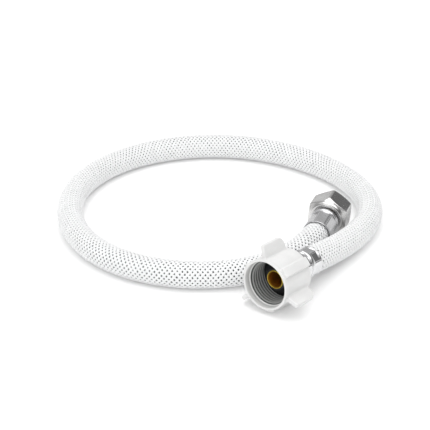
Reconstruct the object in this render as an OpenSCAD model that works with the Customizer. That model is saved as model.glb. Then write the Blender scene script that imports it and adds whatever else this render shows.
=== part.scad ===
// Braided supply line: a flexible hose with a winged plastic nut for a toilet tank's shank
// on one end and a hex compression nut on the other, lying in one open loop on a table.
// Millimetres, +Z up. The origin is under the middle of the loop, on the table.
//
// Each end has its own frame: local Z runs from the nut's mouth inwards, along the hose,
// and every distance called "depth" is measured along it from the mouth's plane.

/* [Hose] */
// Outer diameter of the braided hose
hose_d = 14; // [13.6:0.1:14]
// Outer diameter of the rubber liner inside the braid
liner_d = 12.4; // [12:0.1:12.6]
// Number of flat sides used round the hose
hose_sides = 12; // [8:2:12]

/* [Ballcock nut] */
// Length of the winged nut
ballcock_nut_l = 21.5; // [21:0.1:21.6]
// Diameter of the rim round its mouth
ballcock_rim_d = 25.8; // [25.4:0.1:26]
// Diameter of its smooth mouth, ahead of the thread
ballcock_mouth_d = 23.4; // [22.6:0.1:23.8]
// Diameter across the tips of the wings
wing_tip_d = 39; // [36:0.5:39]
// Thickness of each wing
wing_t = 2.3; // [1.8:0.1:3]
// Width of each low rib between the wings
rib_w = 4.9; // [4:0.1:8]
// Diameter across the low ribs
rib_d = 28.5; // [27:0.1:28.6]
// Number of wings, with as many ribs between them
wings = 3; // [3:1:3]

/* [Hex nut] */
// Width of the hex nut across its flats (13/16 in)
hex_af = 20.6; // [20:0.1:20.7]
// Length of the hex part of the nut
hex_l = 11; // [10:0.1:11]
// Length of the cone and hub behind the hex part
hex_cone_l = 3; // [2.5:0.1:3]

/* [Stems and ferrules] */
// Outer diameter of both brass stems
stem_d = 9.4; // [9:0.1:9.5]
// Water bore of both brass stems
stem_bore_d = 7.4; // [6:0.1:7.6]
// Length of both crimped ferrules
ferrule_l = 16.2; // [15:0.1:16.4]
// Outer diameter of both ferrules
ferrule_d = 14.9; // [14.8:0.1:15]

/* [Hidden] */

round_fn = 96;   // facets on a preview circle; the solids stay truly round
eps = 0.01;      // small overlap that keeps cuts clean
tan30 = tan(30); // flank slope of a 60 degree thread

// Where each end lies: its mouth's centre, the heading of its inward axis and that axis's tilt
ballcock_mouth = [21.1, -93.2, 15.7];
ballcock_heading = 51.2;
ballcock_tilt = -3.5;
hex_mouth = [60.9, -0.9, 12];
hex_heading = 250;
hex_tilt = -1.5;

// The hose's control points between its two straight ends, going clockwise from the hex end
route_middle = [
    [42.5, -43.5, 10], [31, -54.5, 8.2], [15.5, -62.5, 7.2], [-2, -67, 7], [-23, -66.5, 7],
    [-44, -58.5, 7], [-61.5, -44.5, 7], [-73.5, -26, 7], [-80.5, -6.5, 7], [-82.5, 14.5, 7],
    [-80.5, 35.5, 7], [-73, 55, 7], [-60.5, 72.5, 7], [-44, 86, 7], [-24, 94.5, 7],
    [-2.5, 97.5, 7], [19, 94.5, 7], [38.5, 85.5, 7], [55.5, 72.5, 7], [69.5, 56, 7],
    [79, 36.5, 7], [83.5, 14.5, 7], [80.5, -7, 7], [70, -28.5, 8], [57, -47.5, 10.5]
];
end_gap = 15;      // spacing of the control points on the straight ends
rings_per_gap = 2; // rings of the hose solid between two control points
liner_bore_d = stem_d / cos(180 / hose_sides); // the liner's flats touch the stem

// Ballcock end, depths from the mouth
ballcock_nut_hole_d = stem_d + 0.8;
ballcock_counterbore_l = 3.6;  // smooth length ahead of the thread
ballcock_thread_start = 3.7;
ballcock_thread_end = 14.6;
ballcock_major_d = 22.3;       // 7/8 in thread
ballcock_lead_minor_d = 20.7;  // first turns, which the draft of the mould leaves wider
ballcock_minor_d = 20.2;       // turns round the washer
ballcock_pitch = 1.814;        // 14 threads per inch
ballcock_lead_turns = 3;
ballcock_turns = 6;
ballcock_wall = 2;             // thickness of the nut's back wall
ballcock_stem_tip = 8.3;
ballcock_washer_tip = 8.7;
ballcock_washer_cone_l = 5.1;
ballcock_washer_l = 6.3;
ballcock_washer_tip_d = 11.4;
ballcock_washer_d = 19.4;
ballcock_ring_depth = 18.2;
ballcock_ring_d = 19.2;
ballcock_ferrule_depth = 21.9;
wing_start = 2;
wing_front_r = 1;              // rounding of each wing's front corner
wing_back_r = 5;               // rounding of each wing's back corner
wing_back_gap = 3.2;           // from each wing's back edge to the nut's back face
wing_turn = 48;                // angle of the first wing about the nut's axis
rib_start = 1.6;
rib_back_gap = 0.8;

// Hex end, depths from the mouth
hex_nut_hole_d = stem_d + 0.8;
hex_counterbore_d = 17.9;
hex_counterbore_l = 0.8;
hex_thread_start = 1;
hex_thread_end = 8.7;
hex_major_d = 17.46;           // 11/16 in thread
hex_lead_minor_d = 16.2;
hex_minor_d = 15.8;
hex_pitch = 1.27;              // 20 threads per inch
hex_lead_turns = 4;
hex_turns = 6;
hex_wall = 2;
hex_corner_d = 23.4;           // turned diameter that blunts the hex's corners
hex_front_d = 20.4;
hex_front_bevel = 0.9;
hex_hub_d = 18;                // turned hub behind the cone
hex_hub_l = 1.7;
hex_hub_bevel = 0.3;
hex_back_d = 17.6;
hex_stem_tip = 5.9;
hex_seal_tip = 6.3;
hex_seal_cone_l = 1.7;
hex_seal_l = 2.1;
hex_seal_tip_d = 11;
hex_seal_d = 15;
hex_ring_depth = 11;
hex_ring_d = 16.6;
hex_ferrule_depth = 15;
hex_turn = 55;                 // angle of the hex about its axis, one corner almost down

// Both ends
flange_t = 0.9;                // collar on the stem that backs the seal
ring_t = 0.7;
ring_hole_d = stem_d + 0.6;
ferrule_wall = 0.8;            // thickness of the ferrule's closed front
ferrule_bore_d = hose_d + 0.04;
ferrule_shoulder = 0.6;        // chamfer round the ferrule's front
ballcock_bead = 8;             // start of the raised bead, from the ferrule's front
hex_bead = 0.8;
bead_l = 2.2;
bead_slope = 0.5;              // length of the slope on each side of the bead
bead_d = ferrule_d + 0.7;
crimp_af = 14.5;               // across two opposite flats that the crimping jaws press
crimp_jaws = 8;
crimp_turn = 25;               // angle of the first ridge between two jaws
crimp_gap = 0.7;               // plain length between the bead or the open end and the flats
hose_in_ferrule = 1.3;         // depth of the hose's cut end behind the ferrule's front
barb_l = 13.5;                 // length of the stem's tail inside the hose
barb_step = 3;
barb_groove = 0.35;

// ---------- frames and the hose's path ----------

function axis_dir(heading, tilt) = [cos(heading) * cos(tilt), sin(heading) * cos(tilt), sin(tilt)];
function unit(v) = v / norm(v);

module at_end(mouth, heading, tilt) {
    translate(mouth) rotate([0, 90 - tilt, heading]) children();
}
module at_ballcock() {
    at_end(ballcock_mouth, ballcock_heading, ballcock_tilt) children();
}
module at_hex() {
    at_end(hex_mouth, hex_heading, hex_tilt) children();
}

// A point of an end's axis at a depth
function hex_axis(depth) = hex_mouth + depth * axis_dir(hex_heading, hex_tilt);
function ballcock_axis(depth) = ballcock_mouth + depth * axis_dir(ballcock_heading, ballcock_tilt);

// All control points: three on each straight end, so that the hose starts true to its ferrule
control = concat(
    [for (k = [-1:1]) hex_axis(hex_ferrule_depth + hose_in_ferrule + k * end_gap)],
    route_middle,
    [for (k = [1:-1:-1]) ballcock_axis(ballcock_ferrule_depth + hose_in_ferrule + k * end_gap)]
);
spans = len(control) - 3;

// Uniform cubic B-spline through the span from control point i to i + 3, and its direction
function path_point(i, u) =
    (pow(1 - u, 3) * control[i] + (3 * pow(u, 3) - 6 * u * u + 4) * control[i + 1]
     + (-3 * pow(u, 3) + 3 * u * u + 3 * u + 1) * control[i + 2] + pow(u, 3) * control[i + 3]) / 6;
function path_dir(i, u) =
    unit(-pow(1 - u, 2) * control[i] + (3 * u * u - 4 * u) * control[i + 1]
         + (-3 * u * u + 2 * u + 1) * control[i + 2] + u * u * control[i + 3]);

// Where the rings of the hose lie, as [span, share of the span]
stations = concat(
    [for (i = [0:spans - 1]) for (k = [0:rings_per_gap - 1]) [i, k / rings_per_gap]],
    [[spans - 1, 1]]
);

function ring_points(station, d) =
    let (p = path_point(station[0], station[1]),
         t = path_dir(station[0], station[1]),
         side = unit(cross(t, [0, 0, 1])),
         up = cross(side, t))
    [for (k = [0:hose_sides - 1])
        p + d / 2 * (cos(360 * k / hose_sides) * side + sin(360 * k / hose_sides) * up)];

// Closed pipe along the whole path: outer wall, inner wall and two end rings
module hose_pipe(outer_d, inner_d) {
    n = hose_sides;
    last = len(stations) - 1;
    inner_0 = n * (last + 1);
    points = concat([for (s = stations) each ring_points(s, outer_d)],
                    [for (s = stations) each ring_points(s, inner_d)]);
    faces = concat(
        [for (j = [0:last - 1]) for (k = [0:n - 1])
            let (a = j * n + k, b = j * n + (k + 1) % n) each [[a, a + n, b + n], [a, b + n, b]]],
        [for (j = [0:last - 1]) for (k = [0:n - 1])
            let (a = inner_0 + j * n + k, b = inner_0 + j * n + (k + 1) % n)
            each [[a, b + n, a + n], [a, b, b + n]]],
        [for (k = [0:n - 1])
            let (a = k, b = (k + 1) % n) each [[a, b, inner_0 + b], [a, inner_0 + b, inner_0 + a]]],
        [for (k = [0:n - 1])
            let (a = last * n + k, b = last * n + (k + 1) % n)
            each [[a, inner_0 + b, b], [a, inner_0 + a, inner_0 + b]]]
    );
    polyhedron(points = points, faces = faces, convexity = 10);
}

// ---------- shared shapes of the two ends ----------

// Profile of internal thread crests, as [radius, depth] points going inwards
function thread_profile(start, pitch, turns, lead_turns, major_d, lead_minor_d, minor_d) =
    [for (k = [0:turns - 1])
        let (r0 = major_d / 2,
             r1 = (k < lead_turns ? lead_minor_d : minor_d) / 2,
             flank = (r0 - r1) * tan30,
             crest = pitch / 4,
             z = start + k * pitch)
        each [[r0, z], [r1, z + flank], [r1, z + flank + crest], [r0, z + 2 * flank + crest]]];

module turned(points) {
    rotate_extrude($fn = round_fn) polygon(points);
}

// Flat ring between the nut's back wall and the stem's collar
module slip_ring(depth, d) {
    translate([0, 0, depth]) difference() {
        cylinder(h = ring_t, d = d, $fn = round_fn);
        translate([0, 0, -eps]) cylinder(h = ring_t + 2 * eps, d = ring_hole_d, $fn = round_fn);
    }
}

// Tapered rubber seal that sits on the stem ahead of its collar
module tapered_seal(tip, cone_l, l, tip_d, d) {
    turned([
        [stem_d / 2, tip], [tip_d / 2 - 0.3, tip], [tip_d / 2, tip + 0.3],
        [d / 2, tip + cone_l], [d / 2, tip + l], [stem_d / 2, tip + l]
    ]);
}

// Brass stem: a thin mouth, a collar behind the seal and a barbed tail in the hose
module stem(tip, collar, collar_d, ferrule_depth) {
    tail = ferrule_depth + hose_in_ferrule;
    r = stem_d / 2;
    bore = stem_bore_d / 2;
    turned(concat(
        [[bore, tip + 0.4], [r - 0.35, tip], [r, tip + 0.3], [r, collar],
         [collar_d / 2, collar], [collar_d / 2, collar + flange_t], [r, collar + flange_t], [r, tail]],
        [for (k = [0:floor(barb_l / barb_step) - 1])
            each [[r, tail + (k + 1) * barb_step - 0.6],
                  [r - barb_groove, tail + (k + 1) * barb_step]]],
        [[r - barb_groove, tail + barb_l], [bore, tail + barb_l]]
    ));
}

// Pressed flats round a ferrule between two depths, as a cutter
module crimp(from, to) {
    width = ferrule_d;
    for (k = [0:crimp_jaws - 1])
        rotate([0, 0, crimp_turn + 360 * (k + 0.5) / crimp_jaws])
            translate([crimp_af / 2, -width / 2, from]) cube([width, width, to - from]);
}

// Steel ferrule: closed front on the stem, sleeve over the hose, raised bead, flared lip
module ferrule(depth, bead_start) {
    r = ferrule_d / 2;
    z1 = depth + ferrule_l;
    bead = depth + bead_start;
    bead_end = bead + bead_l;
    difference() {
        turned([
            [stem_d / 2, depth], [r - ferrule_shoulder, depth], [r, depth + ferrule_shoulder],
            [r, bead], [bead_d / 2, bead + bead_slope], [bead_d / 2, bead_end - bead_slope], [r, bead_end],
            [r, z1 - 0.8], [r + 0.15, z1 - 0.3], [r + 0.15, z1],
            [ferrule_bore_d / 2, z1], [ferrule_bore_d / 2, depth + ferrule_wall],
            [stem_d / 2, depth + ferrule_wall]
        ]);
        crimp(bead_end + crimp_gap, z1 - 1 - crimp_gap);
    }
}

// ---------- hose ----------

module inner_tube() {
    color("dimgray") hose_pipe(liner_d, liner_bore_d);
}
module braid_sleeve() {
    color("whitesmoke") hose_pipe(hose_d, liner_d);
}

// ---------- ballcock end ----------

// Side outline of a wing: straight front and tip, small front corner, large round back corner
module wing_outline() {
    tip = wing_tip_d / 2;
    root = ballcock_rim_d / 2 - 1.5;
    back = ballcock_nut_l - wing_back_gap;
    polygon(concat(
        [[root, wing_start]],
        [for (a = [0:30:90])
            [tip - wing_front_r + wing_front_r * sin(a), wing_start + wing_front_r * (1 - cos(a))]],
        [for (a = [0:15:90])
            [tip - wing_back_r + wing_back_r * cos(a), back - wing_back_r + wing_back_r * sin(a)]],
        [[root, back]]
    ));
}
module wing() {
    rotate([90, 0, 0]) linear_extrude(wing_t, center = true) wing_outline();
}

// Low rib with blunted edges along the nut's side
module rib() {
    root = ballcock_rim_d / 2 - 1.5;
    top = rib_d / 2;
    translate([0, 0, rib_start]) linear_extrude(ballcock_nut_l - rib_start - rib_back_gap)
        polygon([[root, -rib_w / 2], [top - 0.6, -rib_w / 2], [top, -rib_w / 2 + 0.6],
                 [top, rib_w / 2 - 0.6], [top - 0.6, rib_w / 2], [root, rib_w / 2]]);
}
module ballcock_shell() {
    rim = ballcock_rim_d / 2;
    body = rim - 0.3;
    relief = ballcock_major_d / 2;
    inside = ballcock_nut_l - ballcock_wall;
    turned(concat(
        [[ballcock_mouth_d / 2, 0], [ballcock_mouth_d / 2, ballcock_counterbore_l - 0.4],
         [relief, ballcock_counterbore_l]],
        thread_profile(ballcock_thread_start, ballcock_pitch, ballcock_turns, ballcock_lead_turns,
                       ballcock_major_d, ballcock_lead_minor_d, ballcock_minor_d),
        [[relief, ballcock_thread_end], [relief, inside], [ballcock_nut_hole_d / 2, inside],
         [ballcock_nut_hole_d / 2, ballcock_nut_l], [body - 1.2, ballcock_nut_l],
         [body, ballcock_nut_l - 1.2], [body, 2.4], [rim, 2], [rim, 0.5], [rim - 0.5, 0]]
    ));
}
module ballcock_nut() {
    color("gainsboro") at_ballcock() {
        ballcock_shell();
        for (k = [0:wings - 1]) {
            rotate([0, 0, wing_turn + 360 * k / wings]) wing();
            rotate([0, 0, wing_turn + 360 * (k + 0.5) / wings]) rib();
        }
    }
}
module cone_washer() {
    color([0.1, 0.1, 0.1]) at_ballcock()
        tapered_seal(ballcock_washer_tip, ballcock_washer_cone_l, ballcock_washer_l,
                     ballcock_washer_tip_d, ballcock_washer_d);
}
module ballcock_slip_ring() {
    color("white") at_ballcock() slip_ring(ballcock_ring_depth, ballcock_ring_d);
}
module ballcock_stem() {
    color("gold") at_ballcock()
        stem(ballcock_stem_tip, ballcock_washer_tip + ballcock_washer_l, ballcock_washer_d - 0.6,
             ballcock_ferrule_depth);
}
module ballcock_ferrule() {
    color("silver") at_ballcock() ferrule(ballcock_ferrule_depth, ballcock_bead);
}

// ---------- hex end ----------

// Turned envelope that bevels the front of the hex and leaves a cone and a hub behind it
module hex_envelope() {
    corner = hex_corner_d / 2;
    hub = hex_hub_d / 2;
    back = hex_l + hex_cone_l;
    turned([
        [0, 0], [hex_front_d / 2, 0], [corner, hex_front_bevel], [corner, hex_l - 0.4],
        [hub, back - hex_hub_l], [hub, back - hex_hub_bevel], [hex_back_d / 2, back], [0, back]
    ]);
}
module hex_cavity() {
    relief = hex_major_d / 2;
    inside = hex_l + hex_cone_l - hex_wall;
    hole = hex_nut_hole_d / 2;
    turned(concat(
        [[0, -1], [hex_counterbore_d / 2, -1], [hex_counterbore_d / 2, hex_counterbore_l - 0.2],
         [relief, hex_counterbore_l]],
        thread_profile(hex_thread_start, hex_pitch, hex_turns, hex_lead_turns,
                       hex_major_d, hex_lead_minor_d, hex_minor_d),
        [[relief, hex_thread_end], [relief, inside], [hole, inside],
         [hole, inside + hex_wall + 1], [0, inside + hex_wall + 1]]
    ));
}
module hex_nut() {
    color("lightgray") at_hex() difference() {
        intersection() {
            rotate([0, 0, hex_turn])
                cylinder(h = hex_l + hex_cone_l, d = hex_af / cos(30), $fn = 6);
            hex_envelope();
        }
        hex_cavity();
    }
}
module hex_seal() {
    color([0.1, 0.1, 0.1]) at_hex()
        tapered_seal(hex_seal_tip, hex_seal_cone_l, hex_seal_l, hex_seal_tip_d, hex_seal_d);
}
module hex_slip_ring() {
    color("white") at_hex() slip_ring(hex_ring_depth, hex_ring_d);
}
module hex_stem() {
    color("gold") at_hex()
        stem(hex_stem_tip, hex_seal_tip + hex_seal_l, hex_seal_d - 0.4, hex_ferrule_depth);
}
module hex_ferrule() {
    color("silver") at_hex() ferrule(hex_ferrule_depth, hex_bead);
}

inner_tube();
braid_sleeve();
ballcock_nut();
cone_washer();
ballcock_slip_ring();
ballcock_stem();
ballcock_ferrule();
hex_nut();
hex_seal();
hex_slip_ring();
hex_stem();
hex_ferrule();
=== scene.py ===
"""Braided supply line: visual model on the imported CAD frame. Lengths handed to the shape
functions are millimetres; every mesh is written in metres in the frame's own axes.

Each end of the hose has its own frame: local Z runs from the nut's mouth inwards along the
hose, and a "depth" is measured along it from the mouth's plane.
"""
import math

import bmesh
import bpy
import numpy as np
from mathutils import Matrix, Vector


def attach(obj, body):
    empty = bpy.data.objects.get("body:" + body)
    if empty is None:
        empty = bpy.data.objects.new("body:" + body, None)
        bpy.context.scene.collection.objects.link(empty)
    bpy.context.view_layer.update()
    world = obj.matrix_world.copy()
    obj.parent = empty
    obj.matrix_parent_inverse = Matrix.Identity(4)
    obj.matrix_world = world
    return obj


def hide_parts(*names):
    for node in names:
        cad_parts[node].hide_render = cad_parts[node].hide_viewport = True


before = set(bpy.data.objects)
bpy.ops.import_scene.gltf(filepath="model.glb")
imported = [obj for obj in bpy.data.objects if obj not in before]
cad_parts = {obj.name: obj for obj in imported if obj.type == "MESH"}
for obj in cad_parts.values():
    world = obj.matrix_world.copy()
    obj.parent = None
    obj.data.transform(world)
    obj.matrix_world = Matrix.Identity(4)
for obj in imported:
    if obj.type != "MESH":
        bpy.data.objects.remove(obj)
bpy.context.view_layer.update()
scene = bpy.context.scene
MM = 0.001
TAU = 2 * math.pi

# ---------------------------------------------------------------- frames and the hose's path

BALLCOCK_MOUTH, BALLCOCK_HEADING, BALLCOCK_TILT = (21.1, -93.2, 15.7), 51.2, -3.5
HEX_MOUTH, HEX_HEADING, HEX_TILT = (60.9, -0.9, 12), 250, -1.5
BALLCOCK_FERRULE, HEX_FERRULE, FERRULE_L = 21.9, 15, 16.2
HOSE_IN_FERRULE, END_GAP = 1.3, 15
ROUTE_MIDDLE = [
    (42.5, -43.5, 10), (31, -54.5, 8.2), (15.5, -62.5, 7.2), (-2, -67, 7), (-23, -66.5, 7),
    (-44, -58.5, 7), (-61.5, -44.5, 7), (-73.5, -26, 7), (-80.5, -6.5, 7), (-82.5, 14.5, 7),
    (-80.5, 35.5, 7), (-73, 55, 7), (-60.5, 72.5, 7), (-44, 86, 7), (-24, 94.5, 7),
    (-2.5, 97.5, 7), (19, 94.5, 7), (38.5, 85.5, 7), (55.5, 72.5, 7), (69.5, 56, 7),
    (79, 36.5, 7), (83.5, 14.5, 7), (80.5, -7, 7), (70, -28.5, 8), (57, -47.5, 10.5),
]


def end_frame(mouth, heading, tilt):
    """Millimetres of an end's own frame to metres of the row frame."""
    turn = Matrix.Rotation(math.radians(heading), 4, "Z")
    lean = Matrix.Rotation(math.radians(90 - tilt), 4, "Y")
    return Matrix.Scale(MM, 4) @ Matrix.Translation(mouth) @ turn @ lean


BALLCOCK = end_frame(BALLCOCK_MOUTH, BALLCOCK_HEADING, BALLCOCK_TILT)
HEX = end_frame(HEX_MOUTH, HEX_HEADING, HEX_TILT)


def on_axis(end, depth):
    return np.array(end @ Vector((0, 0, depth)))


def control_points():
    start = [on_axis(HEX, HEX_FERRULE + HOSE_IN_FERRULE + k * END_GAP) for k in (-1, 0, 1)]
    finish = [on_axis(BALLCOCK, BALLCOCK_FERRULE + HOSE_IN_FERRULE + k * END_GAP) for k in (1, 0, -1)]
    return np.array(start + [np.array(p) * MM for p in ROUTE_MIDDLE] + finish)


class Route:
    """The hose's centreline, a uniform cubic B-spline, read by length along it in metres."""

    def __init__(self, control, per_span=80):
        self.control = control
        self.t = np.linspace(0, len(control) - 3, (len(control) - 3) * per_span + 1)
        steps = np.linalg.norm(np.diff(self.points(self.t), axis=0), axis=1)
        self.s = np.concatenate([[0], np.cumsum(steps)])
        self.length = self.s[-1]

    def weights(self, t, slope=False):
        i = np.clip(np.floor(t).astype(int), 0, len(self.control) - 4)
        u = t - i
        if slope:
            w = [-(1 - u) ** 2, 3 * u * u - 4 * u, -3 * u * u + 2 * u + 1, u * u]
        else:
            w = [(1 - u) ** 3 / 6, (3 * u**3 - 6 * u * u + 4) / 6,
                 (-3 * u**3 + 3 * u * u + 3 * u + 1) / 6, u**3 / 6]
        return sum(w[k][:, None] * self.control[i + k] for k in range(4))

    def points(self, t):
        return self.weights(t)

    def frames(self, s):
        """Points at lengths s, with the sideways and upward unit vectors of the section there."""
        t = np.interp(s, self.s, self.t)
        along = self.weights(t, slope=True)
        along /= np.linalg.norm(along, axis=1)[:, None]
        side = np.cross(along, (0, 0, 1))
        side /= np.linalg.norm(side, axis=1)[:, None]
        return self.points(t), side, np.cross(side, along)


route = Route(control_points())

# ---------------------------------------------------------------- camera

CAMERA_PLACE, CAMERA_AIM, CAMERA_LENS = (-2.5, -675.6, 337.2), (-2.5, 15.8, 0), 116.2


def add_camera():
    data = bpy.data.cameras.new("camera")
    data.sensor_width = 36
    data.lens = CAMERA_LENS
    data.clip_start, data.clip_end = 0.01, 20
    cam = bpy.data.objects.new("camera", data)
    scene.collection.objects.link(cam)
    cam.location = Vector(CAMERA_PLACE) * MM
    aim = Vector(CAMERA_AIM) * MM
    cam.rotation_mode = "QUATERNION"
    cam.rotation_quaternion = (aim - cam.location).to_track_quat("-Z", "Y")
    scene.camera = cam


add_camera()

# ---------------------------------------------------------------- materials


class Nodes:
    """A Principled material with a few procedural helpers."""

    def __init__(self, name, **sockets):
        self.mat = bpy.data.materials.new(name)
        self.mat.use_nodes = True
        self.tree = self.mat.node_tree
        self.shader = self.tree.nodes["Principled BSDF"]
        for key, value in sockets.items():
            self.shader.inputs[key.replace("_", " ")].default_value = value

    def new(self, kind, inputs=None, **props):
        node = self.tree.nodes.new(kind)
        for key, value in props.items():
            setattr(node, key, value)
        for key, value in (inputs or {}).items():
            if isinstance(value, bpy.types.NodeSocket):
                self.tree.links.new(value, node.inputs[key])
            else:
                node.inputs[key].default_value = value
        return node

    def place(self, scale=(1, 1, 1), uv=None):
        """Object coordinates, or the named UV map's, scaled."""
        if uv:
            out = self.new("ShaderNodeUVMap", uv_map=uv).outputs["UV"]
        else:
            out = self.new("ShaderNodeTexCoord").outputs["Object"]
        return self.new("ShaderNodeMapping", {"Vector": out, "Scale": scale}).outputs[0]

    def noise(self, at, scale, detail=3.0, rough=0.5):
        return self.new("ShaderNodeTexNoise", {"Vector": at, "Scale": scale, "Detail": detail,
                                               "Roughness": rough}).outputs["Fac"]

    def ramp(self, value, low, high, start=0.3, end=0.7):
        """A number from low to high as value goes from start to end."""
        return self.new("ShaderNodeMapRange", {"Value": value, "From Min": start, "From Max": end,
                                               "To Min": low, "To Max": high}).outputs[0]

    def mix(self, factor, a, b):
        node = self.new("ShaderNodeMix", data_type="RGBA")
        for socket, value in ((node.inputs[0], factor), (node.inputs[6], a), (node.inputs[7], b)):
            if isinstance(value, bpy.types.NodeSocket):
                self.tree.links.new(value, socket)
            else:
                socket.default_value = value
        return node.outputs[2]

    def bump(self, height, distance, strength):
        return self.new("ShaderNodeBump", {"Height": height, "Distance": distance,
                                           "Strength": strength}).outputs[0]

    def attribute(self, name):
        return self.new("ShaderNodeAttribute", attribute_name=name).outputs["Fac"]

    def set(self, **links):
        for key, socket in links.items():
            self.tree.links.new(socket, self.shader.inputs[key.replace("_", " ")])
        return self.mat


def yarn_material():
    m = Nodes("braid_yarn", Roughness=0.5, IOR=1.5)
    uv = m.place(uv="yarn")
    filaments = m.noise(m.new("ShaderNodeMapping", {"Vector": uv, "Scale": (9, 0.35, 1)}).outputs[0],
                        1.0, 2.0)
    patches = m.noise(m.new("ShaderNodeMapping", {"Vector": uv, "Scale": (0.5, 0.12, 1)}).outputs[0],
                      1.0, 1.0)
    colour = m.mix(m.ramp(filaments, 0, 1), (0.78, 0.785, 0.79, 1), (0.93, 0.93, 0.93, 1))
    colour = m.mix(m.ramp(patches, 0, 0.35), colour, (0.80, 0.81, 0.82, 1))
    return m.set(Base_Color=colour, Roughness=m.ramp(filaments, 0.42, 0.6),
                 Normal=m.bump(filaments, 0.00004, 0.7))


def rubber_material(name, colour, grain_mm):
    m = Nodes(name, IOR=1.5)
    grain = m.noise(m.place(), 1000 / grain_mm, 4.0, 0.6)
    dust = m.noise(m.place(), 160, 3.0)
    r, g, b = colour
    tint = m.mix(m.ramp(dust, 0, 1), (r, g, b, 1), (r * 1.7, g * 1.7, b * 1.7, 1))
    return m.set(Base_Color=tint, Roughness=m.ramp(dust, 0.6, 0.8),
                 Normal=m.bump(grain, 0.00003, 0.5))


def plastic_material(name, light, dark, roughness, painted_shade_colour=None):
    """Satin moulded plastic: faint flow marks, a fine spark-eroded grain, soft gloss changes.
    Where the mesh's attribute "inside" is 1, the colour is the given painted shade colour: dark paint
    standing in for the shade of a deep hollow."""
    m = Nodes(name, IOR=1.48)
    flow = m.noise(m.place((1, 1, 2.5)), 90, 4.0, 0.55)
    grain = m.noise(m.place(), 2600, 2.0)
    colour = m.mix(m.ramp(flow, 0, 1), (*dark, 1), (*light, 1))
    if painted_shade_colour:
        colour = m.mix(m.attribute("inside"), colour, (*painted_shade_colour, 1))
    return m.set(Base_Color=colour, Roughness=m.ramp(flow, roughness - 0.05, roughness + 0.07),
                 Normal=m.bump(grain, 0.00001, 0.35))


def metal_material(name, colour, worn, roughness, painted_shade_colour=None):
    """Plated metal with fine machining lines, haze and small marks. Where the mesh's attribute
    "inside" is 1, the colour is the given painted shade colour: darker paint for the shade down a bore."""
    m = Nodes(name, Metallic=0.9 if painted_shade_colour else 1.0)
    haze = m.noise(m.place(), 140, 4.0, 0.6)
    turned = m.noise(m.place(), 700, 2.0)
    specks = m.noise(m.place(), 1100, 2.0)
    tint = m.mix(m.ramp(haze, 0, 1, 0.35, 0.75), (*colour, 1), (*worn, 1))
    if painted_shade_colour:
        tint = m.mix(m.attribute("inside"), tint, (*painted_shade_colour, 1))
    rough = m.new("ShaderNodeMath", {0: m.ramp(haze, roughness - 0.05, roughness + 0.08),
                                     1: m.ramp(specks, 0, 0.06, 0.55, 0.75)}, operation="ADD")
    return m.set(Base_Color=tint, Roughness=rough.outputs[0],
                 Normal=m.bump(turned, 0.00001, 0.12))


YARN = yarn_material()
LINER = rubber_material("liner_rubber", (0.012, 0.012, 0.013), 0.5)
BLACK_RUBBER = rubber_material("washer_rubber", (0.006, 0.006, 0.007), 0.35)
# The nut plastic's inner colour is a near-black painted shade for the nut's threaded cavity.
NUT_PLASTIC = plastic_material("nut_plastic", (0.765, 0.765, 0.76), (0.705, 0.705, 0.70), 0.36,
                               painted_shade_colour=(0.035, 0.042, 0.038))
WHITE_NYLON = plastic_material("white_nylon", (0.85, 0.85, 0.84), (0.78, 0.78, 0.77), 0.42)
# The brass's inner colour is a darker brown painted shade down the stems' bores.
BRASS = metal_material("brass", (1.0, 0.80, 0.13), (0.95, 0.68, 0.10), 0.3, painted_shade_colour=(0.62, 0.30, 0.04))
STEEL = metal_material("ferrule_steel", (0.74, 0.74, 0.75), (0.58, 0.58, 0.59), 0.17)
NICKEL = metal_material("nickel_plate", (0.68, 0.675, 0.67), (0.55, 0.545, 0.54), 0.17)

# ---------------------------------------------------------------- mesh helpers


def mesh_from(name, verts, quads):
    """A mesh of quads from arrays."""
    me = bpy.data.meshes.new(name)
    me.vertices.add(len(verts))
    me.vertices.foreach_set("co", np.asarray(verts, np.float32).ravel())
    me.loops.add(quads.size)
    me.loops.foreach_set("vertex_index", quads.astype(np.int32).ravel())
    me.polygons.add(len(quads))
    me.polygons.foreach_set("loop_start", np.arange(0, quads.size, 4, dtype=np.int32))
    me.update(calc_edges=True)
    return me


def add_piece(name, me, body, slot, *materials, replaces=(), sharp=None):
    for m in materials:
        me.materials.append(m)
    me.polygons.foreach_set("use_smooth", np.ones(len(me.polygons), bool))
    if sharp:
        me.set_sharp_from_angle(angle=math.radians(sharp))
    me.update()
    ob = bpy.data.objects.new(name, me)
    scene.collection.objects.link(ob)
    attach(ob, body)
    if replaces:
        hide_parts(*replaces)
    return ob


def face_outwards(me):
    """Points every normal of a closed mesh outwards."""
    bm = bmesh.new()
    bm.from_mesh(me)
    bmesh.ops.recalc_face_normals(bm, faces=bm.faces)
    bm.to_mesh(me)
    bm.free()
    return me


def clean(me, recalc=True):
    """Merges doubled vertices, drops empty faces and, with recalc, points the normals outwards."""
    bm = bmesh.new()
    bm.from_mesh(me)
    bmesh.ops.remove_doubles(bm, verts=bm.verts, dist=1e-4)
    bmesh.ops.dissolve_degenerate(bm, edges=bm.edges, dist=1e-5)
    if recalc:
        bmesh.ops.recalc_face_normals(bm, faces=bm.faces)
    bm.to_mesh(me)
    bm.free()
    return me


def rounded(profile, radius, steps=3):
    """The closed outline with each corner rounded. A radius may be one number or one a corner."""
    p = np.array(profile, float)
    radii = np.broadcast_to(radius, len(p))
    out = []
    for i, r in enumerate(radii):
        a, c, b = p[i - 1], p[i], p[(i + 1) % len(p)]
        u, v = a - c, b - c
        lu, lv = np.linalg.norm(u), np.linalg.norm(v)
        cut = min(r, 0.45 * lu, 0.45 * lv)
        if cut < 1e-3:
            out.append(c)
            continue
        s, e = c + u / lu * cut, c + v / lv * cut
        for t in np.linspace(0, 1, steps + 1):
            out.append((1 - t) ** 2 * s + 2 * t * (1 - t) * c + t * t * e)
    return np.array(out)


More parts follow.
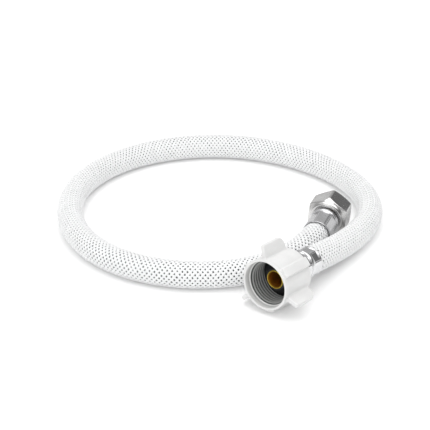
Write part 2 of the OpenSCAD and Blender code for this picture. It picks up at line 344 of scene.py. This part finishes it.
def lathe(profile, segments=128, warp=None):
    """A closed outline of (radius, depth) turned round the local Z axis; warp moves its radii."""
    p = np.array(profile, float)
    phi = np.arange(segments) * TAU / segments
    r = np.repeat(p[:, :1], segments, axis=1)
    z = np.repeat(p[:, 1:], segments, axis=1)
    if warp:
        r = warp(r, z, np.broadcast_to(phi, r.shape))
    verts = np.stack([r * np.cos(phi), r * np.sin(phi), z], axis=-1).reshape(-1, 3)
    i = np.arange(len(p))[:, None] * segments
    j = ((np.arange(len(p)) + 1) % len(p))[:, None] * segments
    k = np.arange(segments)[None]
    k2 = (k + 1) % segments
    quads = np.stack([i + k, i + k2, j + k2, j + k], axis=-1).reshape(-1, 4)
    return clean(mesh_from("lathe", verts, quads))


def surface_net(field, low, high, step):
    """The zero surface of a distance-like field, as a mesh of quads pulled onto it."""
    axes = [np.arange(low[k], high[k] + step, step) for k in range(3)]
    grid = np.meshgrid(*axes, indexing="ij")
    f = field(*grid)
    inside = f < 0
    n = [len(a) - 1 for a in axes]
    total = np.zeros((*n, 3))
    count = np.zeros(n)
    crossings = []
    for axis in range(3):
        lo = [slice(None)] * 3
        hi = [slice(None)] * 3
        lo[axis], hi[axis] = slice(None, -1), slice(1, None)
        f0, f1 = f[tuple(lo)], f[tuple(hi)]
        cross = inside[tuple(lo)] != inside[tuple(hi)]
        t = np.where(cross, f0 / np.where(cross, f0 - f1, 1), 0)
        point = np.stack([g[tuple(lo)] for g in grid], axis=-1)
        point[..., axis] += t * step
        point *= cross[..., None]
        others = [k for k in range(3) if k != axis]
        for da in (0, 1):
            for db in (0, 1):
                part = [slice(None)] * 3
                part[others[0]] = slice(da, n[others[0]] + da)
                part[others[1]] = slice(db, n[others[1]] + db)
                total += point[tuple(part)]
                count += cross[tuple(part)]
        crossings.append((axis, others, np.argwhere(cross), f0[cross] < 0))
    used = count > 0
    index = -np.ones(n, int)
    index[used] = np.arange(used.sum())
    verts = total[used] / count[used][:, None]
    quads = []
    for axis, (a, b), cells, leaving in crossings:
        corner = []
        for da, db in ((1, 1), (0, 1), (0, 0), (1, 0)):
            c = cells.copy()
            c[:, a] -= da
            c[:, b] -= db
            corner.append(index[tuple(c.T)])
        q = np.stack(corner, axis=-1)
        flip = leaving if axis != 1 else ~leaving
        quads.append(np.where(flip[:, None], q, q[:, ::-1]))
    h = step * 0.1
    for _ in range(3):
        x, y, z = verts.T
        d = field(x, y, z)
        slope = np.stack([field(x + h, y, z) - field(x - h, y, z),
                          field(x, y + h, z) - field(x, y - h, z),
                          field(x, y, z + h) - field(x, y, z - h)], axis=-1) / (2 * h)
        move = d[:, None] * slope / np.maximum((slope**2).sum(1), 0.2)[:, None]
        verts = verts - np.clip(move, -0.4 * step, 0.4 * step)
    return mesh_from("net", verts, np.concatenate(quads))


def cut(me, cutter):
    """me without cutter, both closed meshes in the same frame."""
    a = bpy.data.objects.new("cut_a", me)
    b = bpy.data.objects.new("cut_b", cutter)
    for o in (a, b):
        scene.collection.objects.link(o)
    mod = a.modifiers.new("cut", "BOOLEAN")
    mod.object, mod.operation, mod.solver = b, "DIFFERENCE", "MANIFOLD"
    bpy.context.view_layer.update()
    out = bpy.data.meshes.new_from_object(a.evaluated_get(bpy.context.evaluated_depsgraph_get()))
    out.materials.clear()
    out.polygons.foreach_set("material_index", np.zeros(len(out.polygons), np.int32))
    for o in (a, b):
        bpy.data.objects.remove(o)
    return out


# Distance-like fields, in millimetres
def box_2d(x, y, half_x, half_y, r=0.0):
    qx, qy = np.abs(x) - half_x + r, np.abs(y) - half_y + r
    return np.hypot(np.maximum(qx, 0), np.maximum(qy, 0)) + np.minimum(np.maximum(qx, qy), 0) - r


def extruded(flat, across, half, r):
    """A flat shape's distance made a slab of that half thickness, its edges rounded by r."""
    a, b = flat + r, np.abs(across) - half + r
    return np.hypot(np.maximum(a, 0), np.maximum(b, 0)) + np.minimum(np.maximum(a, b), 0) - r


def join(a, b, k):
    """Union with a fillet of about k."""
    h = np.maximum(k - np.abs(a - b), 0) / k
    return np.minimum(a, b) - h * h * k / 4


def meet(a, b, k):
    """Intersection with its edge blunted by about k."""
    return -join(-a, -b, k)


def smooth_step(x, a, b):
    t = np.clip((x - a) / (b - a), 0, 1)
    return t * t * (3 - 2 * t)


# ---------------------------------------------------------------- hose

STRANDS = 14          # yarns wound each way
PITCH = 33.2 * MM     # length of one turn of a yarn
CROSSING = PITCH / (2 * STRANDS)
YARN_MID, YARN_LIFT = 6.58 * MM, 0.2 * MM
YARN_HALF_W, YARN_HALF_T = 0.64 * MM, 0.225 * MM
LINER_R, LINER_BORE_R = 6.16 * MM, 4.75 * MM
HOSE_R = 7 * MM
YARN_INSET = 9 * MM    # from the hose's cut ends to the yarns' ends, hidden in the ferrules
NECK = 0.955           # share of its radius that the hose keeps inside the ferrules
PER_CROSSING, YARN_SIDES = 4, 8
MOUTH = (FERRULE_L - HOSE_IN_FERRULE) * MM   # length of hose inside each ferrule
rng = np.random.default_rng(20)


def neck(s):
    """How far the hose is squeezed in at each length: a little inside the two ferrules."""
    from_end = np.minimum(s, route.length - s)
    return NECK + (1 - NECK) * smooth_step(from_end, MOUTH - 0.3 * MM, MOUTH + 3 * MM)


def liner_mesh():
    s = np.linspace(0, route.length, 260)
    p, side, up = route.frames(s)
    phi = np.arange(32) * TAU / 32
    rings = []
    for r in (LINER_R, LINER_BORE_R):
        rings.append(p[:, None] + (r * neck(s))[:, None, None] * (
            np.cos(phi)[None, :, None] * side[:, None] + np.sin(phi)[None, :, None] * up[:, None]))
    rows = np.concatenate([rings[0], rings[1][::-1]])
    n, m = len(rows), len(phi)
    i = np.arange(n)[:, None] * m
    j = ((np.arange(n) + 1) % n)[:, None] * m
    k = np.arange(m)[None]
    quads = np.stack([i + k, i + (k + 1) % m, j + (k + 1) % m, j + k], axis=-1).reshape(-1, 4)
    return face_outwards(mesh_from("liner", rows.reshape(-1, 3), quads)), p


def wander(s, size, wave_mm):
    """Small smooth random drift along a yarn."""
    knots = int(route.length / (wave_mm * MM)) + 4
    return np.interp(s, np.linspace(0, route.length, knots), rng.normal(0, size, knots))


def yarns_mesh(hand, first, last):
    """Yarns first to last of one hand (+1 or -1), over and under the other hand's by turns."""
    start, end = YARN_INSET, route.length - YARN_INSET
    s = np.arange(int(start / CROSSING) * PER_CROSSING, int(end / CROSSING) * PER_CROSSING + 1)
    s = s * CROSSING / PER_CROSSING
    p, side, up = route.frames(s)
    a = np.arange(YARN_SIDES) * TAU / YARN_SIDES
    verts, quads, across, along = [], [], [], []
    base = 0
    for k in range(first, last):
        theta = hand * TAU * s / PITCH + TAU * k / STRANDS + wander(s, 0.012, 6)
        lift = hand * np.cos(math.pi * s / CROSSING)
        r = (YARN_MID + YARN_LIFT * lift) * neck(s)
        out = np.cos(theta)[:, None] * side + np.sin(theta)[:, None] * up
        centre = p + r[:, None] * out
        ahead = np.gradient(centre, axis=0)
        wide = np.cross(out, ahead)
        wide /= np.linalg.norm(wide, axis=1)[:, None]
        out = np.cross(ahead, wide)
        out /= np.linalg.norm(out, axis=1)[:, None]
        half_w = YARN_HALF_W * (1 + wander(s, 0.045, 3) + 0.03 * lift)
        ring = (centre[:, None] + (half_w[:, None] * np.cos(a))[..., None] * wide[:, None]
                + (YARN_HALF_T * np.sin(a))[None, :, None] * out[:, None])
        n, m = len(s), YARN_SIDES
        verts.append(ring.reshape(-1, 3))
        i = np.arange(n - 1)[:, None] * m + base
        c = np.arange(m)[None]
        quads.append(np.stack([i + c, i + (c + 1) % m, i + m + (c + 1) % m, i + m + c],
                              axis=-1).reshape(-1, 4))
        ends = np.array([[0, 1, 2, 3], [0, 3, 4, 7], [4, 5, 6, 7]])
        quads.append(ends + base)
        quads.append(ends[:, ::-1] + base + (n - 1) * m)
        across.append(np.tile(10 * k + np.cos(a) * YARN_HALF_W / MM, (n, 1)).ravel())
        along.append(np.repeat(s / MM / math.cos(math.atan(TAU * HOSE_R / PITCH)), m))
        base += n * m
    me = mesh_from("yarns", np.concatenate(verts), np.concatenate(quads))
    uv = me.uv_layers.new(name="yarn")
    vert_uv = np.stack([np.concatenate(across), np.concatenate(along)], axis=-1)
    corner = np.zeros(len(me.loops), np.int32)
    me.loops.foreach_get("vertex_index", corner)
    uv.data.foreach_set("uv", vert_uv[corner].astype(np.float32).ravel())
    return face_outwards(me)


def build_hose():
    me, centreline = liner_mesh()
    liner = add_piece("hose_liner", me, "hose", "liner", LINER, replaces=("inner_tube",))
    braid = []
    for hand, word in ((1, "right"), (-1, "left")):
        for first, last in ((0, 5), (5, 10), (10, 14)):
            name = f"braid_{word}_{first + 1}_to_{last}"
            braid.append(add_piece(name, yarns_mesh(hand, first, last), "hose", "braid", YARN))
    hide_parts("braid_sleeve")
    return liner, braid, centreline


liner, braid, centreline = build_hose()

# ---------------------------------------------------------------- the winged ballcock nut

NUT_L, RIM_R, MOUTH_R = 21.5, 12.9, 11.7
WING_R, WING_T, WING_TURN = 19.5, 2.3, 48
WING_FRONT, WING_BACK, WING_FRONT_R, WING_BACK_R = 2.0, NUT_L - 3.2, 1.2, 5.0
RIB_R, RIB_W, RIB_MID, RIB_HALF_L = 14.25, 4.9, 11.15, 9.55
NUT_HOLE_R, NUT_WALL = 5.1, 2         # the stem's hole in both nuts' back walls, and their thickness
BALLCOCK_RELIEF_R, BALLCOCK_THREAD = 11.15, (3.8, 14.6, 1.814, 0.85)
CAVITY_START = 3.6                    # depth where the threaded part of the mouth begins


def ballcock_field(x, y, z):
    r = np.hypot(x, y)
    f = box_2d(r, z - NUT_L / 2, RIM_R - 0.3, NUT_L / 2, 1.1)
    f = join(f, box_2d(r, z - 1.05, RIM_R, 1.05, 0.45), 0.35)
    for k in range(3):
        a = math.radians(WING_TURN + 120 * k)
        u, v = x * math.cos(a) + y * math.sin(a), -x * math.sin(a) + y * math.cos(a)
        # outline of the wing: a small front corner and a large round back corner
        half_l = (WING_BACK - WING_FRONT) / 2
        dz = z - (WING_BACK + WING_FRONT) / 2
        corner = np.where(dz > 0, WING_BACK_R, WING_FRONT_R)
        flat = box_2d(u - WING_R / 2 - 4, dz, WING_R / 2 - 4, half_l, 0)
        qx = np.maximum(u - WING_R + corner, 0)
        qz = np.maximum(np.abs(dz) - half_l + corner, 0)
        flat = np.maximum(flat, np.hypot(qx, qz) - corner)
        taper = WING_T / 2 + 0.12 - 0.028 * np.clip(u - 12, 0, 8)
        f = join(f, extruded(flat, v, taper, 0.45), 0.9)
        a += math.radians(60)
        u, v = x * math.cos(a) + y * math.sin(a), -x * math.sin(a) + y * math.cos(a)
        side = box_2d(u - RIB_R / 2, z - RIB_MID, RIB_R / 2, RIB_HALF_L, 0.6)
        rib = extruded(side, v, RIB_W / 2, 0.5)
        f = join(f, rib, 0.35)
    return f


def thread_warp(start, end, pitch, depth, lead=0.9):
    """Radius change that raises a helical 60 degree thread between two depths."""
    def warp(r, z, phi):
        turn = (z - start) / pitch - phi / TAU
        wave = np.abs((turn % 1) - 0.5) * 2          # 1 in the root, 0 on the crest
        crest = np.clip((0.78 - wave) / 0.5, 0, 1)
        height = (depth * crest * smooth_step(z, start, start + lead)
                  * (1 - smooth_step(z, end - lead, end)))
        return np.where((z > start) & (z < end), r - height, r)
    return warp


def bored(outer, rows, warp):
    """outer with a threaded cavity turned from rows of (radius, depth), given from the mouth inwards."""
    profile = [(0, rows[0][1])] + rows + [(0, rows[-1][1])]
    return clean(cut(outer, lathe(profile, 160, warp)), recalc=False)


def mark_painted_shade(me, rule):
    """Sets the attribute "inside", a mask of painted shade in hollows, from a rule of each vertex's
    radius and depth.
    """
    co = np.zeros(len(me.vertices) * 3, np.float32)
    me.vertices.foreach_get("co", co)
    x, y, z = co.reshape(-1, 3).T
    value = rule(np.hypot(x, y), z).astype(np.float32)
    me.attributes.new("inside", "FLOAT", "POINT").data.foreach_set("value", value)


def ballcock_painted_shade(reach, z):
    """Painted shade in the nut's cavity: dim in the smooth mouth, lighter on the ledge behind it,
    darkest in the thread's roots.
    """
    start = CAVITY_START
    threads = smooth_step(z, start, start + 0.35) * (0.6 + 0.4 * smooth_step(reach, 10.45, 11.05))
    mouth = 0.36 * smooth_step(z, 0.4, 1.4) * (1 - smooth_step(z, start - 0.5, start - 0.2))
    return np.where((reach < MOUTH_R + 0.05) & (z < NUT_L - 1), np.maximum(threads, mouth), 0)


def steps_between(r, a, b, step):
    return [(r, z) for z in np.arange(a, b, step)]


def ballcock_nut():
    outer = surface_net(ballcock_field, (-20.4, -20.4, -0.6), (20.4, 20.4, NUT_L + 0.6), 0.3)
    relief, hole, inside = BALLCOCK_RELIEF_R, NUT_HOLE_R, NUT_L - NUT_WALL
    rows = [(MOUTH_R + 0.5, -1), (MOUTH_R + 0.5, -0.1), (MOUTH_R + 0.32, 0.06),
            (MOUTH_R + 0.1, 0.22), (MOUTH_R, 0.5), (MOUTH_R - 0.02, 3.15),
            (MOUTH_R - 0.1, 3.32), (relief + 0.12, 3.62), (relief, 3.75)]
    rows += steps_between(relief, 3.85, 14.7, 0.12)
    rows += [(relief, 14.8), (relief, inside), (hole + 0.3, inside), (hole, inside + 0.3),
             (hole, NUT_L - 0.4), (hole + 0.4, NUT_L + 0.05), (hole + 0.4, NUT_L + 1)]
    me = bored(outer, rows, thread_warp(*BALLCOCK_THREAD))
    # Painted shade in the nut's mouth and threads, set through the attribute inside.
    mark_painted_shade(me, ballcock_painted_shade)
    me.transform(BALLCOCK)
    return add_piece("winged_nut", me, "ballcock_nut", "nut_plastic", NUT_PLASTIC,
                     replaces=("ballcock_nut",), sharp=38)


ballcock_nut()

# ---------------------------------------------------------------- the hex nut

HEX_AF, HEX_L, HEX_CONE_L, HEX_TURN = 20.6, 11, 3, 55
HEX_CORNER_R, HUB_R, CONE_RUN = 11.7, 9.0, 1.7     # turned corners, the hub, the cone's length
HEX_RELIEF_R, HEX_THREAD = 8.73, (0.9, 8.7, 1.27, 0.62, 0.6)


def hex_field(x, y, z):
    r = np.hypot(x, y)
    f = np.full(np.shape(x), -99.0)
    for k in range(6):
        a = math.radians(HEX_TURN + 30 + 60 * k)
        flat = x * math.cos(a) + y * math.sin(a) - HEX_AF / 2
        f = meet(f, flat, 0.22)
    slope = math.atan2(HEX_CORNER_R - HUB_R, CONE_RUN)
    cone = (r - HEX_CORNER_R) * math.cos(slope) + (z - HEX_L + 0.4) * math.sin(slope)
    cone = join(cone, r - HUB_R, 0.8)
    bevel = ((r - 10.2) - 1.67 * z) * 0.514
    ends = meet(-z, z - HEX_L - HEX_CONE_L, 0.2)
    for side in (r - HEX_CORNER_R, cone, bevel, ends):
        f = meet(f, side, 0.25)
    return f


def hex_nut():
    outer = surface_net(hex_field, (-12.4, -12.4, -0.5), (12.4, 12.4, 14.5), 0.22)
    relief, hole, inside = HEX_RELIEF_R, NUT_HOLE_R, HEX_L + HEX_CONE_L - NUT_WALL
    rows = [(9.3, -1), (9.3, -0.05), (9.0, 0.25), (8.95, 0.6), (relief, 0.85)]
    rows += steps_between(relief, 0.95, 8.8, 0.1)
    rows += [(relief, 8.9), (relief, inside), (hole + 0.2, inside), (hole, inside + 0.2),
             (hole, 13.7), (hole + 0.4, 14.05), (hole + 0.4, 15)]
    me = bored(outer, rows, thread_warp(*HEX_THREAD))
    me.transform(HEX)
    return add_piece("hex_nut_body", me, "hex_nut", "nickel_plate", NICKEL,
                     replaces=("hex_nut",), sharp=30)


hex_nut()

# ---------------------------------------------------------------- stems, seals and ferrules

STEM_R, BORE_R = 4.7, 3.7
BARBS, BARB_STEP, BARB_GROOVE, TAIL_L = 4, 3, 0.35, 13.5
FERRULE_R, BEAD_R, BEAD_L = 7.45, 7.95, 2.2
FLAT_R, ROUND_R, RIDGE_R, RIDGE_HALF_W = 7.1, 7.38, 7.5, 0.28     # pressed part of a ferrule


def stem(end, name, node, tip, collar, collar_r, ferrule_depth):
    tail = ferrule_depth + HOSE_IN_FERRULE
    profile = [(BORE_R + 0.25, tip + 1.8), (STEM_R - 0.45, tip + 0.2), (STEM_R - 0.32, tip),
               (STEM_R, tip + 0.3), (STEM_R, collar), (collar_r, collar), (collar_r, collar + 0.9),
               (STEM_R, collar + 0.9), (STEM_R, tail)]
    groove = STEM_R - BARB_GROOVE
    for k in range(BARBS):
        barb = tail + (k + 1) * BARB_STEP
        profile += [(STEM_R, barb - 0.6), (groove, barb)]
    profile += [(groove, tail + TAIL_L), (BORE_R, tail + TAIL_L), (BORE_R, tip + 3)]
    me = lathe(rounded(profile, 0.14), 96)
    # Painted shade down the bore: darker brown where the radius is under about 4 mm.
    mark_painted_shade(me, lambda reach, z: 1 - smooth_step(reach, 3.95, 4.25))
    me.transform(end)
    return add_piece(name, me, "hose", "brass", BRASS, replaces=(node,), sharp=50)


def seal(end, name, node, tip, cone_l, length, tip_r, r):
    profile = [(STEM_R, tip + 0.1), (tip_r - 0.3, tip), (tip_r, tip + 0.35),
               (r - 0.1, tip + cone_l - 0.2), (r, tip + cone_l + 0.1), (r, tip + length),
               (STEM_R, tip + length)]
    me = lathe(rounded(profile, 0.22), 96)
    me.transform(end)
    return add_piece(name, me, "hose", "black_rubber", BLACK_RUBBER, replaces=(node,), sharp=60)


def crimp_warp(bands, turn):
    """Eight pressed flats round each band, with a raised ridge left between two jaws."""
    def warp(r, z, phi):
        a = (phi - math.radians(turn) + TAU / 16) % (TAU / 8) - TAU / 16   # from the nearest ridge
        from_flat = TAU / 16 - np.abs(a)
        flat = FLAT_R / np.cos(from_flat)
        on_ridge = np.abs(a) * 7.2 < RIDGE_HALF_W
        pressed = np.where(on_ridge, RIDGE_R, np.minimum(flat, ROUND_R))
        share = sum(smooth_step(z, a0, a0 + 0.35) * (1 - smooth_step(z, a1 - 0.35, a1))
                    for a0, a1 in bands)
        return np.where(r > 7.2, r + (pressed - r) * share, r)
    return warp


def ferrule(end, name, node, depth, bead, turn):
    r = FERRULE_R
    z1 = depth + FERRULE_L
    b = depth + bead
    if bead > 2:
        front = [(r - 0.9, depth), (r - 0.35, depth + 0.3), (r, depth + 1.0)]
        front += steps_between(r, depth + 1.3, b - 0.05, 0.35)
    else:
        front = [(r - 0.7, depth), (r - 0.15, depth + 0.25), (r, depth + 0.6)]
    ring = [(r + (BEAD_R - r) * math.sin(a) ** 0.8, b + BEAD_L * (1 - math.cos(a)) / 2)
            for a in np.linspace(0, math.pi, 13)]
    back = steps_between(r, b + BEAD_L + 0.15, z1 - 1.0, 0.35)
    lip = [(r, z1 - 0.85), (r + 0.14, z1 - 0.35), (r + 0.16, z1 - 0.12), (r + 0.08, z1),
           (r - 0.12, z1), (7.12, z1 - 0.2), (7.02, z1 - 0.6), (7.02, depth + 0.8),
           (STEM_R, depth + 0.8), (STEM_R, depth)]
    bands = [(b + BEAD_L + 0.25, z1 - 0.9)]
    if bead > 2:
        bands.append((depth + 0.9, b - 0.25))
    me = lathe(front + ring + back + lip, 256, crimp_warp(bands, turn))
    me.transform(end)
    return add_piece(name, me, "hose", "ferrule_steel", STEEL, replaces=(node,), sharp=42)


stem(BALLCOCK, "ballcock_stem_tube", "ballcock_stem",
     tip=8.3, collar=15.0, collar_r=9.4, ferrule_depth=BALLCOCK_FERRULE)
stem(HEX, "hex_stem_tube", "hex_stem",
     tip=5.9, collar=8.4, collar_r=7.3, ferrule_depth=HEX_FERRULE)
seal(BALLCOCK, "cone_washer_rubber", "cone_washer", tip=8.7, cone_l=5.1, length=6.3, tip_r=5.7, r=9.7)
seal(HEX, "hex_seal_rubber", "hex_seal", tip=6.3, cone_l=1.7, length=2.1, tip_r=5.5, r=7.5)
ferrules = [
    ferrule(BALLCOCK, "ballcock_ferrule_sleeve", "ballcock_ferrule", BALLCOCK_FERRULE, bead=8, turn=25),
    ferrule(HEX, "hex_ferrule_sleeve", "hex_ferrule", HEX_FERRULE, bead=0.8, turn=10),
]

for node in ("ballcock_slip_ring", "hex_slip_ring"):
    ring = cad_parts[node]
    ring.data.materials.clear()
    ring.data.materials.append(WHITE_NYLON)

# ---------------------------------------------------------------- floor and light


def add_floor():
    me = bpy.data.meshes.new("floor")
    me.from_pydata([(-6, -6, 0), (6, -6, 0), (6, 6, 0), (-6, 6, 0)], [], [(0, 1, 2, 3)])
    m = Nodes("floor", Roughness=0.9, Emission_Color=(1, 1, 1, 1), Emission_Strength=0.12)
    tone = m.noise(m.place(), 3, 2.0)
    me.materials.append(m.set(Base_Color=m.mix(tone, (0.90, 0.90, 0.90, 1), (0.92, 0.92, 0.92, 1))))
    ob = bpy.data.objects.new("floor", me)
    ob.location = (0, 0, -0.0002)
    scene.collection.objects.link(ob)


def add_light(name, place, aim, size, watts):
    data = bpy.data.lights.new(name, "AREA")
    data.shape, data.size, data.energy = "SQUARE", size, watts
    ob = bpy.data.objects.new(name, data)
    ob.location = place
    ob.rotation_mode = "QUATERNION"
    ob.rotation_quaternion = (Vector(aim) - Vector(place)).to_track_quat("-Z", "Y")
    scene.collection.objects.link(ob)


add_floor()
add_light("key", place=(0.15, -0.1, 1.25), aim=(0, 0, 0), size=1.8, watts=12)
add_light("fill", place=(-0.5, -1.1, 0.6), aim=(0, 0, 0.01), size=0.8, watts=3)


def add_world(strength):
    """Soft studio surroundings: bright overhead and low down, with dimmer walls between, darkest
    on the +X side."""
    world = bpy.data.worlds.new("studio")
    scene.world = world
    world.use_nodes = True
    tree = world.node_tree
    background = tree.nodes["Background"]
    background.inputs["Strength"].default_value = strength
    direction = tree.nodes.new("ShaderNodeTexCoord").outputs["Generated"]
    axes = tree.nodes.new("ShaderNodeSeparateXYZ")
    tree.links.new(direction, axes.inputs[0])

    def wall(level):
        ramp = tree.nodes.new("ShaderNodeValToRGB")
        stops = ((0.0, 0.8), (0.14, 0.85), (0.26, level), (0.5, level), (0.72, 1.0), (1.0, 1.0))
        for k, (at, tone) in enumerate(stops):
            stop = ramp.color_ramp.elements[k] if k < 2 else ramp.color_ramp.elements.new(at)
            stop.position = at
            stop.color = (tone, tone, tone, 1)
        tree.links.new(axes.outputs["Z"], ramp.inputs[0])
        return ramp.outputs["Color"]

    sideways = tree.nodes.new("ShaderNodeMapRange")
    tree.links.new(axes.outputs["X"], sideways.inputs["Value"])
    sideways.inputs["From Min"].default_value, sideways.inputs["From Max"].default_value = 0.2, 0.55
    blend = tree.nodes.new("ShaderNodeMix")
    blend.data_type = "RGBA"
    tree.links.new(sideways.outputs[0], blend.inputs[0])
    tree.links.new(wall(0.52), blend.inputs[6])
    tree.links.new(wall(0.19), blend.inputs[7])
    tree.links.new(blend.outputs[2], background.inputs["Color"])


add_world(0.9)
scene.view_settings.view_transform = "Standard"
